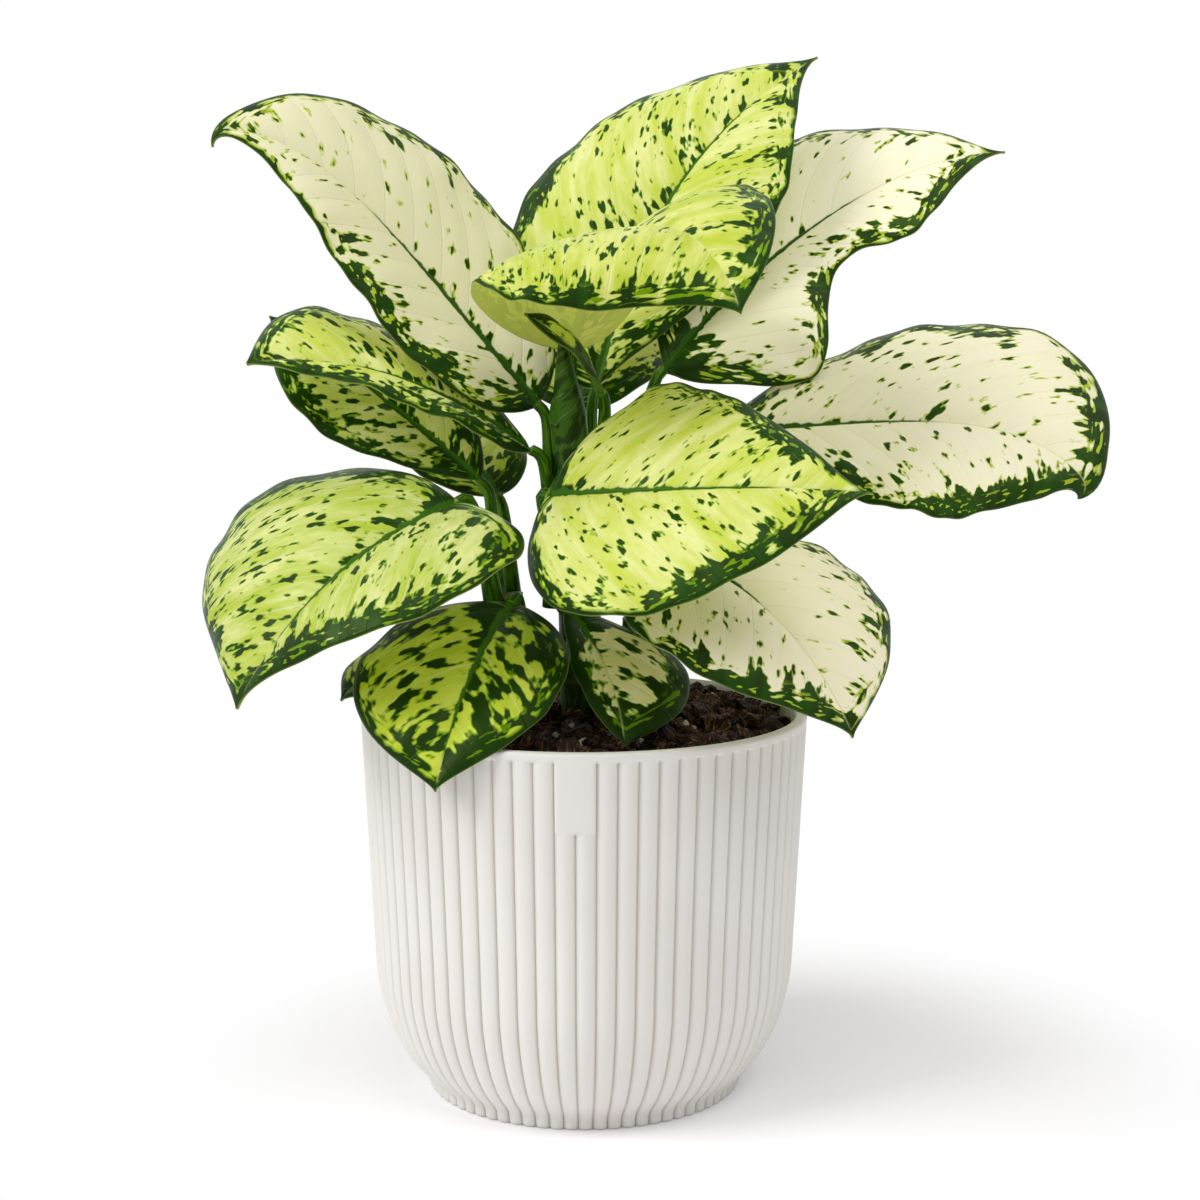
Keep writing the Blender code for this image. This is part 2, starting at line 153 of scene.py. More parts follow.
def newPiece(name, points, faces, material, attributes=None, sharpAngle=None):
    mesh = bpy.data.meshes.new(name)
    mesh.from_pydata(np.asarray(points).tolist(), [], faces)
    mesh.update()
    mesh.shade_smooth()
    if sharpAngle is not None:
        mesh.set_sharp_from_angle(angle=math.radians(sharpAngle))
    for label, values in (attributes or {}).items():
        layer = mesh.attributes.new(label, "FLOAT_VECTOR", "POINT")
        layer.data.foreach_set("vector", np.asarray(values, float).ravel())
    mesh.materials.append(material)
    piece = bpy.data.objects.new(name, mesh)
    bpy.context.scene.collection.objects.link(piece)
    return piece


def ringFaces(rows, size):
    # quads between rings of equal size, a flat cap on the first ring and a point after the last
    faces = [tuple(reversed(range(size)))]
    for row in range(rows - 1):
        for k in range(size):
            a, b = row * size + k, row * size + (k + 1) % size
            faces.append((a, b, b + size, a + size))
    last, tip = (rows - 1) * size, rows * size
    return faces + [(last + k, last + (k + 1) % size, tip) for k in range(size)]


def fit(piece, slot, *nodes):
    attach(piece, "root")
    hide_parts(*nodes)


stems = {
    "stem_main": dict(foot=(.000, .006, .113), top=(-.003, -.003, .204), radii=(.0080, .0062)),
    "stem_left": dict(foot=(-.014, -.003, .113), top=(-.025, -.009, .168), radii=(.0062, .0048)),
    "stem_right": dict(foot=(.013, -.004, .113), top=(.018, -.010, .160), radii=(.0062, .0048)),
}


def atHeight(stem, height):
    foot, top = np.array(stems[stem]["foot"]), np.array(stems[stem]["top"])
    share = np.clip((height - foot[2]) / (top[2] - foot[2]), 0, 1)
    low, high = stems[stem]["radii"]
    return foot + (top - foot) * share, low + (high - low) * share


def tube(foot, top, radii, sides, count, shaping):
    # rings round a straight axis; shaping scales the radius by share of length and angle
    foot, top = np.array(foot), np.array(top)
    ahead = unit(top - foot)
    right = unit(np.cross((0, 1, 0), ahead))
    lift = np.cross(ahead, right)
    share, turn = np.meshgrid(np.linspace(0, 1, count), np.linspace(0, 2 * math.pi, sides, endpoint=False),
                              indexing="ij")
    radius = np.interp(share, np.linspace(0, 1, len(radii)), radii) * shaping(share, turn)
    out = np.cos(turn)[..., None] * right + np.sin(turn)[..., None] * lift
    points = foot + (top - foot) * share[..., None] + radius[..., None] * out
    points = np.concatenate([points.reshape(-1, 3), points[-1].mean(axis=0)[None]])
    place = np.stack([turn * radius, share * np.linalg.norm(top - foot), share], axis=-1).reshape(-1, 3)
    return points, ringFaces(count, sides), np.concatenate([place, place[-1:]])


blade = dict(
    thickness=.0009, thinEdge=.55, bulge=.09, tipOnset=12, curlFrom=.92,
    ripple=.0010, rippleWaves=28, frill=.0005, frillWaves=66,
    rowStep=.0015, halfColumns=26, lastRow=.996, frameSteps=120,
    veinSpacing=.0135, veinLean=.9, veinCurve=6.0, veinRun=1.2, pillow=.0005,
    groove=.0006, grooveWidth=.0016, ridge=.0016, columnSpread=1.2, creasePower=.7,
    narrow=.02, fewestRows=36,
)
petiole = dict(
    radius=.0023, taper=.2, clasp=.008, runIn=.004, open=.25, rings=24,
    seatGap=.0003, sheath=.9, sheathFall=1.4, curveSteps=40, placeEdge=.02,
)

plainLeaf = dict(sway=0, late=1, roll=0, twist=0, curl=0, lobe=0)
# root: stem, height, direction; stalk: length, lean, direction; left and right: width, widest, pointed;
# sway turns the heading on the way to the tip, late holds the droop back; the place in this list is the seed
leaves = {
    "leaf_top_left": dict(
        root=("stem_main", .178, 170), stalk=(.045, 5, 185),
        length=.145, heading=180, sway=10, rise=50, droop=70, late=5, roll=50,
        left=(.028, .35, 1.5), right=(.042, .45, 1.3), curl=80, colour="cream",
        # the greyer cream base is painted shade, for a face turned away from the lamps
        looks={"Base": tone(229, 225, 189), "Band": .95, "Tilt": -.25, "Midrib": .62}),
    "leaf_top_centre": dict(
        root=("stem_main", .172, 60), stalk=(.055, 5, 75),
        length=.150, heading=60, sway=-55, rise=65, droop=35, late=1.5, roll=-30,
        left=(.050, .45, 1.4), right=(.040, .55, 2.3), colour="pale",
        looks={"Midrib": .85}),
    "leaf_arched": dict(
        root=("stem_main", .186, 115), stalk=(.055, 5, 305),
        length=.120, heading=305, rise=80, droop=145, twist=-40,
        left=(.035, .45, 1.2), right=(.060, .45, 1.3), colour="pale",
        # the bright underside tone is painted light, standing in for light that shines through the blade onto
        # the downturned flap
        looks={"Base": tone(224, 227, 134), "Wash": tone(180, 197, 46), "Under": tone(240, 247, 128),
               "Band": .9, "Band Reach": .014, "Midrib": .5}),
    "leaf_top_right": dict(
        root=("stem_main", .168, 10), stalk=(.070, 20, 35),
        length=.150, heading=45, sway=-65, rise=40, droop=40, late=3, roll=-40,
        left=(.046, .50, 2.3), right=(.034, .35, 1.2), swell=(.35, .80, .60), colour="cream",
        # the whiter base and wash are painted light, for a leaf that the key lamp from the left hardly
        # reaches
        looks={"Base": tone(250, 245, 220), "Wash": tone(242, 237, 190), "Flecks": -.1,
               "Heart": .8, "Heart Reach": .035, "Midrib": .7}),
    "leaf_right": dict(
        root=("stem_right", .140, 20), stalk=(.075, 15, 40),
        length=.140, heading=355, sway=-30, rise=5, droop=65, late=4, roll=-40,
        left=(.050, .60, 1.9), right=(.042, .65, 1.4), curl=110, colour="cream",
        # this leaf's own base and wash are painted light, setting its brightness to how it is lit rather than
        # to its colour
        looks={"Base": tone(242, 236, 209), "Wash": tone(234, 228, 178), "Flecks": .08,
               "Band": 1.25, "Tilt": .2, "Midrib": .6}),
    "leaf_front_right": dict(
        root=("stem_main", .150, 268), stalk=(.050, 25, 245),
        length=.115, heading=310, sway=40, rise=5, droop=10, late=3, roll=-45,
        left=(.046, .25, 1.3), right=(.050, .40, 1.7), colour="pale",
        looks={"Flecks": .1, "Tilt": .15, "Midrib": .8}),
    "leaf_low_right": dict(
        root=("stem_right", .142, 300), stalk=(.035, 15, 310),
        length=.095, heading=315, sway=10, rise=-5, droop=60, roll=-15,
        left=(.042, .50, 1.3), right=(.045, .40, 1.5), colour="cream",
        # the whiter base and wash are painted light, for a leaf shaded by the leaf above it and turned from
        # the key lamp
        looks={"Base": tone(255, 247, 220), "Wash": tone(247, 240, 184), "Flecks": .04,
               "Band": 1.05, "Band Reach": .015, "Midrib": .5}),
    "leaf_left_fold": dict(
        root=("stem_main", .164, 215), stalk=(.045, 10, 195),
        length=.100, heading=195, rise=35, droop=45, late=1.5, roll=35,
        left=(.012, .40, 1.2), right=(.030, .75, 1.2), colour="pale",
        looks={"Midrib": .7}),
    "leaf_left": dict(
        root=("stem_left", .148, 145), stalk=(.050, 10, 135),
        length=.090, heading=160, sway=30, rise=40, droop=5, roll=45,
        left=(.027, .65, 1.5), right=(.022, .50, 1.4), colour="pale",
        looks={"Flecks": .4, "Midrib": .95}),
    "leaf_left_back": dict(
        root=("stem_left", .144, 95), stalk=(.050, 20, 115),
        length=.110, heading=125, rise=40, droop=60, roll=10,
        left=(.026, .40, 1.4), right=(.026, .40, 1.4), colour="pale",
        looks={"Midrib": .8}),
    "leaf_low_left": dict(
        root=("stem_left", .152, 230), stalk=(.045, 25, 230),
        length=.100, heading=215, sway=-25, rise=-15, droop=50, roll=20, lobe=.5,
        left=(.046, .30, 2.0), right=(.066, .60, 1.4), colour="pale",
        looks={"Base": tone(220, 224, 150), "Wash": tone(168, 188, 44), "Flecks": .3,
               "Band": .95, "Band Reach": .014, "Midrib": .8}),
    "leaf_front_low": dict(
        root=("stem_left", .138, 275), stalk=(.025, 30, 255),
        length=.075, heading=245, rise=-25, droop=40, roll=10,
        left=(.030, .40, 1.5), right=(.037, .50, 1.4), colour="dark",
        looks={"Midrib": .9}),
    "leaf_small_front": dict(
        root=("stem_right", .134, 225), stalk=(.030, 40, 215),
        length=.055, heading=315, sway=-35, rise=-30, droop=30,
        left=(.027, .55, 1.4), right=(.011, .50, 1.2), colour="dark",
        looks={"Base": tone(240, 236, 190), "Wash": tone(214, 216, 116), "Flecks": .4,
               "Band": 1.3, "Band Reach": .012, "Margin": .003, "Midrib": .4}),
    "leaf_low_back": dict(
        root=("stem_right", .130, 115), stalk=(.035, 70, 75),
        length=.080, heading=55, sway=-5, rise=5, droop=35, roll=-10,
        left=(.022, .40, 1.4), right=(.024, .40, 1.4), colour="dark",
        looks={"Midrib": .9}),
    "leaf_low_left_back": dict(
        root=("stem_left", .130, 185), stalk=(.015, 45, 160),
        length=.050, heading=190, sway=20, rise=10, droop=55, roll=10,
        left=(.019, .45, 1.3), right=(.019, .45, 1.3), colour="dark",
        looks={"Midrib": .9}),
    "leaf_back": dict(
        root=("stem_main", .158, 95), stalk=(.065, 20, 90),
        length=.105, heading=85, sway=-10, rise=50, droop=75, roll=-5,
        left=(.030, .40, 1.4), right=(.030, .40, 1.4), colour="pale",
        looks={"Midrib": .8}),
    "leaf_back_right": dict(
        root=("stem_right", .148, 85), stalk=(.060, 40, 60),
        length=.090, heading=50, sway=-5, rise=30, droop=70, roll=-10,
        left=(.027, .40, 1.4), right=(.027, .40, 1.4), colour="pale",
        looks={"Midrib": .8}),
    "leaf_young": dict(
        root=("stem_main", .188, 335), stalk=(.040, 10, 275),
        length=.040, heading=250, sway=-80, rise=50, droop=20, roll=40,
        left=(.005, .50, 1.2), right=(.009, .50, 1.2), colour="dark",
        looks={"Midrib": .6}),
}

# each look's underside tone is the leaf's paler back, lifted further as painted light for light through the
# blade
leafLooks = {
    "pale": {
        "Base": tone(230, 232, 156), "Wash": tone(192, 207, 64), "Halo": tone(112, 150, 8),
        "Dark": tone(22, 64, 8), "Rib": tone(50, 98, 12), "Under": tone(212, 228, 112),
        "Flecks": .2, "Band": .95, "Band Reach": .013, "Heart": .15, "Heart Reach": .03, "Margin": .0013,
        "Tilt": 0.0, "Soak": .95, "Spots": 600,
    },
    "cream": {
        "Base": tone(247, 241, 213), "Wash": tone(238, 232, 178), "Halo": tone(168, 190, 48),
        "Dark": tone(26, 66, 12), "Rib": tone(42, 84, 14), "Under": tone(222, 222, 160),
        "Flecks": -.06, "Band": 1.15, "Band Reach": .016, "Heart": .35, "Heart Reach": .035, "Margin": .0014,
        "Tilt": 0.0, "Soak": .25, "Spots": 500,
    },
    "dark": {
        "Base": tone(212, 222, 84), "Wash": tone(164, 188, 16), "Halo": tone(96, 136, 2),
        "Dark": tone(18, 52, 2), "Rib": tone(58, 104, 16), "Under": tone(92, 126, 44),
        "Flecks": .56, "Band": .6, "Band Reach": .012, "Heart": .2, "Heart Reach": .03, "Margin": .0018,
        "Tilt": 0.0, "Soak": .7, "Spots": 430,
    },
}


def along(points, fractions):
    # points at these fractions of the length of a smooth curve
    points = np.asarray(points, float)
    knots = np.concatenate([[0], np.cumsum(np.sqrt(np.linalg.norm(np.diff(points, axis=0), axis=1)))])
    slopes = np.gradient(points, knots, axis=0)
    fine = np.linspace(0, knots[-1], petiole["curveSteps"] * len(points))
    span = np.clip(np.searchsorted(knots, fine, side="right") - 1, 0, len(points) - 2)
    width = (knots[span + 1] - knots[span])[:, None]
    t = (fine - knots[span])[:, None] / width
    curve = ((2 * t**3 - 3 * t**2 + 1) * points[span] + (t**3 - 2 * t**2 + t) * width * slopes[span]
             + (3 * t**2 - 2 * t**3) * points[span + 1] + (t**3 - t**2) * width * slopes[span + 1])
    length = np.concatenate([[0], np.cumsum(np.linalg.norm(np.diff(curve, axis=0), axis=1))])
    wanted = np.asarray(fractions) * length[-1]
    return np.stack([np.interp(wanted, length, curve[:, axis]) for axis in range(3)], axis=1), length[-1]


def petioleStart(root):
    stem, height, degrees = root
    start = []
    for level in (height, height + petiole["clasp"]):
        centre, radius = atHeight(stem, level)
        start.append(centre + compass(degrees) * (radius + petiole["radius"] + petiole["seatGap"]))
    return start


def bladeBase(leaf):
    length, lean, direction = leaf["stalk"]
    lean = math.radians(lean)
    alongStalk = compass(direction) * math.sin(lean) + np.array([0, 0, math.cos(lean)])
    return petioleStart(leaf["root"])[-1] + length * alongStalk


def halfWidth(fraction, widest, pointed):
    low, high = pointed * widest, pointed * (1 - widest)
    outline = (fraction / widest) ** low * ((1 - fraction) / (1 - widest)) ** high
    return outline * (1 - fraction ** blade["tipOnset"])


def swelling(leaf, half, rows):
    if half == "left" or "swell" not in leaf:
        return np.ones(len(rows))
    amount, peak, period = leaf["swell"]
    return 1 + amount * np.cos(2 * math.pi * (rows - peak) / period)


def midribFrame(leaf):
    steps = blade["frameSteps"]
    share = np.linspace(0, 1, steps)
    heading = np.radians(leaf["heading"] + leaf["sway"] * share)
    curl = leaf["curl"] * np.clip((share - blade["curlFrom"]) / (1 - blade["curlFrom"]), 0, 1) ** 2
    rise = np.radians(leaf["rise"] - leaf["droop"] * share ** leaf["late"] - curl)
    roll = np.radians(leaf["roll"] + leaf["twist"] * share)[:, None]
    levelRight = np.stack([np.sin(heading), -np.cos(heading), np.zeros(steps)], axis=1)
    forward = np.stack([np.cos(rise) * np.cos(heading), np.cos(rise) * np.sin(heading), np.sin(rise)], axis=1)
    right = np.cos(roll) * levelRight + np.sin(roll) * np.cross(levelRight, forward)
    step = (forward[1:] + forward[:-1]) / 2 * leaf["length"] / (steps - 1)
    midrib = bladeBase(leaf) + np.concatenate([np.zeros((1, 3)), np.cumsum(step, axis=0)])
    return share, midrib, forward, right, np.cross(right, forward)


def edgeDistance(flat, outline):
    # distance of flat points from a line through the outline's points
    start, end = outline[:-1], outline[1:]
    run = end - start
    offset = flat[:, None, :] - start[None]
    t = np.clip((offset * run).sum(-1) / np.maximum((run * run).sum(-1), 1e-12), 0, 1)
    return np.linalg.norm(offset - t[..., None] * run[None], axis=-1).min(axis=1)


def makeBlade(leaf, rows):
    # top and bottom points of the blade, and where each lies on it: across, along, distance from the edge
    share, *fields = midribFrame(leaf)
    midrib, forward, right, up = (
        np.stack([np.interp(rows, share, field[:, axis]) for axis in range(3)], axis=1) for field in fields)
    back = forward * leaf["lobe"] * (1 - rows[:, None]) ** 3
    distance = rows * leaf["length"]
    wave = blade["ripple"] * np.sin(2 * math.pi * blade["rippleWaves"] * distance)
    frill = blade["frill"] * np.sin(2 * math.pi * blade["frillWaves"] * distance + leaf["seed"])
    out = (np.arange(1, blade["halfColumns"] + 1) / blade["halfColumns"]) ** blade["columnSpread"]
    grid, flat, outlines = [], [], []
    for side, half in ((-1, "left"), (1, "right")):
        width, widest, pointed = leaf[half]
        spread = width * halfWidth(rows, widest, pointed) * swelling(leaf, half, rows)
        outlines.append(np.stack([side * spread, distance], axis=1))
        columns, places = [], []
        for t in out:
            reach = (side * right - back) * t + up * blade["bulge"] * 4 * t * (1 - t)
            across = spread * t
            vein = distance - across * blade["veinLean"] - across**2 * blade["veinCurve"]
            crease = np.abs(np.sin(math.pi * vein / blade["veinSpacing"] + side * leaf["seed"]))
            crease = crease ** blade["creasePower"] * np.minimum(1, spread / blade["narrow"])
            pillow = blade["pillow"] * crease * np.sin(math.pi * t)
            lift = spread / width * (side * wave * t**2 + frill * t**4) + pillow
            columns.append(midrib + spread[:, None] * reach + lift[:, None] * up)
            places.append(np.stack([side * across, distance], axis=1))
        grid.append(columns[::-1] if side < 0 else columns)
        flat.append(places[::-1] if side < 0 else places)
    middle = np.stack([np.zeros(len(rows)), distance], axis=1)
    grid = np.stack([*grid[0], midrib, *grid[1]], axis=1)
    flat = np.stack([*flat[0], middle, *flat[1]], axis=1)
    outline = np.concatenate([outlines[0][::-1], [[0, 0]], outlines[1], [[0, leaf["length"]]]])
    edge = edgeDistance(flat.reshape(-1, 2), np.concatenate([outline, outline[:1]])).reshape(flat.shape[:2])
    upward = unit(np.cross(np.gradient(grid, axis=1), np.gradient(grid, axis=0)))
    nearRib = np.exp(-(flat[..., 0] / blade["grooveWidth"]) ** 2) * (1 - rows[:, None])
    t = np.abs(np.concatenate([-out[::-1], [0], out]))
    half = blade["thickness"] / 2 * (1 - blade["thinEdge"] * t**6)
    top = grid + upward * (half[None, :] - blade["groove"] * nearRib)[..., None]
    bottom = grid - upward * (half[None, :] + blade["ridge"] * nearRib)[..., None]
    return top, bottom, np.concatenate([flat, edge[..., None]], axis=-1)


def makeLeaf(name, leaf, material):
    count = max(blade["fewestRows"], round(leaf["length"] / blade["rowStep"]))
    even = np.linspace(0, 1, count + 1)[1:]
    rows = blade["lastRow"] * (even + (1 - np.cos(math.pi * even)) / 2) / 2
    top, bottom, place = makeBlade(leaf, rows)
    columns = 2 * blade["halfColumns"] + 1

    _, midrib, forward, side, _ = midribFrame(leaf)
    base = midrib[0]
    bends = [*petioleStart(leaf["root"]), base - forward[0] * petiole["runIn"], base]
    ringShare = np.linspace(0, 1, petiole["rings"])
    path, pathLength = along(bends, ringShare)
    heading = unit(np.gradient(path, axis=0))
    right = side[0]
    halfTurn = math.pi - petiole["open"]
    angles = np.concatenate([np.linspace(halfTurn, petiole["open"], columns),
                             np.linspace(-petiole["open"], -halfTurn, columns)])
    stalkRings = []
    for ring in range(petiole["rings"] - 1, -1, -1):
        right = unit(right - heading[ring] * np.dot(right, heading[ring]))
        lift = np.cross(right, heading[ring])
        radius = petiole["radius"] * (1 - petiole["taper"] * ringShare[ring]
                                      + petiole["sheath"] * (1 - ringShare[ring]) ** petiole["sheathFall"])
        out = np.cos(angles)[:, None] * right + np.sin(angles)[:, None] * lift
        stalkRings.append(path[ring] + radius * out)
    stalkRings = np.array(stalkRings[::-1])
    rings = np.concatenate([stalkRings, np.concatenate([top, bottom[:, ::-1]], axis=1)])
    points = np.concatenate([rings.reshape(-1, 3), rings[-1].mean(axis=0)[None]])

    size = 2 * columns
    stalkPlace = np.zeros((petiole["rings"], size, 3))
    stalkPlace[..., 0] = angles * petiole["radius"]
    stalkPlace[..., 1] = ((ringShare - 1) * pathLength)[:, None]
    stalkPlace[..., 2] = petiole["placeEdge"]
    place = np.concatenate([stalkPlace, np.concatenate([place, place[:, ::-1]], axis=1)])
    under = np.concatenate([np.zeros(columns), np.ones(columns)])
    kind = np.zeros((len(place), size, 3))
    kind[..., 0] = under
    kind[:petiole["rings"], :, 1] = 1
    kind[petiole["rings"]:, :, 2] = rows[:, None]
    place, kind = place.reshape(-1, 3), kind.reshape(-1, 3)
    attributes = {"bladePlace": np.concatenate([place, place[-1:]]),
                  "bladeKind": np.concatenate([kind, kind[-1:]])}
    piece = newPiece(name + "_blade", points, ringFaces(len(rings), size), material, attributes)
    fit(piece, "leaf_" + leaf["colour"], name)


# variegation: runs stretch the noise along veins and edge, steps are where a mark begins and is full
marks = dict(
    sideShift=.037, seedShift=.21, veinRun=(.78, .30), edgeRun=.5, soakRun=(.9, .2),
    cellScale=.55, cellWeight=.52, cellLevel=.435, cloudWeight=.66,
    patchScale=150, broadScale=26, fleckScale=620, soakScale=130, fineScale=700,
    stalkRun=.12, stalkScale=900, grainScale=1500, wobbleScale=240,
    level=.750, levelDrop=.30, cluster=.65, uneven=(.35, .65, .55, 1.3),
    edgeZone=(.009, .003), ribZone=(.007, .0005), ribStart=.1, ribSpots=.35,
    darkStep=(-.012, .028), haloStep=(-.085, 0.0), fleckStep=(.60, .63),
    soakStep=(.26, .70), tip=(.93, .985), wander=.004, crisp=.0003, marginHalo=.0012,
    veinLine=(.0007, .0001), veinShade=(.18, .06), fineShare=.16,
    ribWidth=(.0004, .0018), ribWobble=(.55, 1.2), ribFade=.1, ribEndShare=.45,
    ribEndLine=(.0006, .0002), ribEndEdge=(.001, .003),
    rim=(.0004, .0001), rimShare=.3, underShare=.75, underRough=.2, gloss=(.34, .46),
    grainLift=.25, veinSink=-.6, darkSink=-.12, bump=(.5, .0004),
    specular=.2, sheen=(.75, .85, .35, 1),
    deep=tone(14, 44, 5), veinTone=tone(244, 243, 214), ribEndTone=tone(206, 214, 140),
    rimTone=tone(150, 176, 80), stalkTones=(tone(24, 64, 4), tone(76, 124, 16)),
)


def blobs(tree, vector, scale):
    # rounded spots with uneven outlines, part cells and part clouds
    cells = add(tree, "TexVoronoi", {"Vector": vector, "Scale": times(tree, scale, marks["cellScale"])})
    dots = scaled(tree, cells.outputs["Distance"], -marks["cellWeight"], marks["cellLevel"])
    return scaled(tree, clouds(tree, vector, scale, 1.0), marks["cloudWeight"], dots)


def makeVariegation():
    inputs = {"Place": "Vector", "Kind": "Vector"}
    inputs.update(dict.fromkeys(("Base", "Wash", "Halo", "Dark", "Rib", "Under"), "Color"))
    inputs.update(dict.fromkeys(("Seed", "Flecks", "Band", "Band Reach", "Heart", "Heart Reach", "Margin",
                                 "Midrib", "Tilt", "Soak", "Spots"), "Float"))
    outputs = {"Color": "Color", "Roughness": "Float", "Height": "Float"}
    group, given, result = newGroup("variegation", inputs, outputs)
    x, y, edge = split(group, given["Place"])
    under, stalkMask, share = split(group, given["Kind"])
    side = maths(group, "SIGN", x)
    reach = maths(group, "ABSOLUTE", x)
    bend = times(group, maths(group, "POWER", reach, 2.0), blade["veinCurve"])
    lean = scaled(group, reach, blade["veinLean"], bend)
    vein = minus(group, y, lean)
    alongVein = scaled(group, y, blade["veinRun"], reach)
    seed = scaled(group, side, marks["sideShift"], times(group, given["Seed"], marks["seedShift"]))

    # spots drawn out along the side veins, and along the edge close to it
    acrossRun, alongRun = marks["veinRun"]
    veinPlace = joined(group, times(group, vein, acrossRun), times(group, alongVein, alongRun), seed)
    edgePlace = joined(group, times(group, y, marks["edgeRun"]), edge, seed)
    spots = blobs(group, veinPlace, given["Spots"])
    streaks = clouds(group, edgePlace, given["Spots"], 1.0)
    nearEdge = smooth(group, edge, *marks["edgeZone"])
    spots = add(group, "Mix", {0: nearEdge, 2: spots, 3: streaks}).outputs[0]
    patches = minus(group, clouds(group, veinPlace, marks["patchScale"], 1.0), .5)
    broad = clouds(group, joined(group, x, y, seed), marks["broadScale"], 0.0)

    # how dense the dark spots are here
    band = smooth(group, edge, given["Band Reach"], 0.0)
    tilt = scaled(group, side, given["Tilt"], 1.0)
    uneven = smooth(group, broad, *marks["uneven"])
    density = times(group, times(group, band, given["Band"]), times(group, tilt, uneven))
    heart = times(group, smooth(group, y, given["Heart Reach"], 0.0), given["Heart"])
    nearRib = times(group, smooth(group, reach, *marks["ribZone"]),
                    smooth(group, share, given["Midrib"], marks["ribStart"], 0.0, marks["ribSpots"]))
    density = maths(group, "ADD", maths(group, "ADD", density, heart),
                    maths(group, "ADD", nearRib, given["Flecks"]))
    level = scaled(group, density, -marks["levelDrop"], marks["level"])
    value = scaled(group, patches, marks["cluster"], spots)
    above = minus(group, value, level)
    dark = smooth(group, above, *marks["darkStep"])
    halo = smooth(group, above, *marks["haloStep"])

    # light flecks left inside the dark band, then a solid dark margin of uneven width
    flecks = smooth(group, clouds(group, edgePlace, marks["fleckScale"], 1.0), *marks["fleckStep"])
    solid = minus(group, 1.0, times(group, flecks, nearEdge))
    dark = times(group, dark, solid)
    wander = scaled(group, patches, marks["wander"], given["Margin"])
    fromMargin = minus(group, edge, wander)
    margin = smooth(group, fromMargin, marks["crisp"], -marks["crisp"])
    tipDark = smooth(group, share, *marks["tip"])
    dark = maths(group, "MAXIMUM", dark, maths(group, "MAXIMUM", margin, tipDark))
    halo = maths(group, "MAXIMUM", halo, smooth(group, fromMargin, marks["marginHalo"], 0.0))

    # watery greens between the veins, pale thin veins
    acrossRun, alongRun = marks["soakRun"]
    soakPlace = joined(group, times(group, vein, acrossRun), times(group, alongVein, alongRun), seed)
    soaked = clouds(group, soakPlace, marks["soakScale"], 3.0, .55, .3)
    soak = times(group, smooth(group, soaked, *marks["soakStep"]), given["Soak"])
    colour = mixed(group, soak, given["Base"], given["Wash"])
    phase = maths(group, "DIVIDE", vein, blade["veinSpacing"])
    offset = times(group, times(group, side, given["Seed"]), 1 / math.pi)
    # the whole number keeps the phase above zero
    phase = maths(group, "FRACT", maths(group, "ADD", phase, maths(group, "ADD", offset, 100.0)))
    nearest = maths(group, "MINIMUM", phase, minus(group, 1.0, phase))
    fromVein = times(group, nearest, blade["veinSpacing"])
    line = smooth(group, fromVein, *marks["veinLine"])
    lineShade = scaled(group, given["Soak"], *marks["veinShade"])
    colour = mixed(group, times(group, line, lineShade), colour, marks["veinTone"])
    fine = smooth(group, clouds(group, veinPlace, marks["fineScale"], 2.0), .3, .7, 0.0, marks["fineShare"])
    colour = mixed(group, fine, colour, given["Wash"])
    colour = mixed(group, halo, colour, given["Halo"])
    deep = mixed(group, smooth(group, soaked, .35, .65), given["Dark"], marks["deep"])
    colour = mixed(group, dark, colour, deep)

    # midrib: green from the base, running out towards the tip
    wobble = clouds(group, joined(group, side, y, seed), marks["wobbleScale"], 2.0)
    wobble = smooth(group, wobble, .3, .7, *marks["ribWobble"])
    ribWidth = smooth(group, share, given["Midrib"], 0.0, *marks["ribWidth"])
    ribWidth = times(group, ribWidth, wobble)
    rib = smooth(group, minus(group, reach, ribWidth), marks["crisp"], -marks["crisp"])
    fadeStart = minus(group, given["Midrib"], marks["ribFade"])
    rib = times(group, rib, smooth(group, share, given["Midrib"], fadeStart))
    colour = mixed(group, rib, colour, given["Rib"])
    ribEnd = times(group, smooth(group, reach, *marks["ribEndLine"]),
                   smooth(group, edge, *marks["ribEndEdge"]))
    pastRib = minus(group, share, given["Midrib"])
    ribEnd = times(group, ribEnd, smooth(group, pastRib, -marks["ribFade"], 0.0))
    colour = mixed(group, times(group, ribEnd, marks["ribEndShare"]), colour, marks["ribEndTone"])

    # pale line on the very edge; dull paler underside, partly the leaf's own paler back and partly painted
    # light for light passing through the blade; streaked stalk
    rim = times(group, smooth(group, edge, *marks["rim"]), marks["rimShare"])
    colour = mixed(group, rim, colour, marks["rimTone"])
    colour = mixed(group, times(group, under, marks["underShare"]), colour, given["Under"])
    stalkPlace = joined(group, x, times(group, y, marks["stalkRun"]), seed)
    streak = smooth(group, clouds(group, stalkPlace, marks["stalkScale"], 2.0), .38, .62)
    colour = mixed(group, stalkMask, colour, mixed(group, streak, *marks["stalkTones"]))
    group.links.new(colour, result["Color"])

    roughness = smooth(group, soaked, .3, .7, *marks["gloss"])
    group.links.new(scaled(group, under, marks["underRough"], roughness), result["Roughness"])
    grain = clouds(group, veinPlace, marks["grainScale"], 2.0)
    height = scaled(group, grain, marks["grainLift"], times(group, line, marks["veinSink"]))
    group.links.new(scaled(group, dark, marks["darkSink"], height), result["Height"])
    return group


def leafMaterial(name, looks, specular):
    material, tree, shader = newMaterial(name, specular)
    place = stored(tree, "bladePlace")
    kind = stored(tree, "bladeKind")
    pattern = add(tree, "Group", {"Place": place, "Kind": kind, **looks}, node_tree=variegation).outputs
    feed(tree, shader, {"Base Color": pattern["Color"], "Roughness": pattern["Roughness"],
                        "Specular Tint": marks["sheen"]})
    setBump(tree, shader, pattern["Height"], *marks["bump"])
    return material


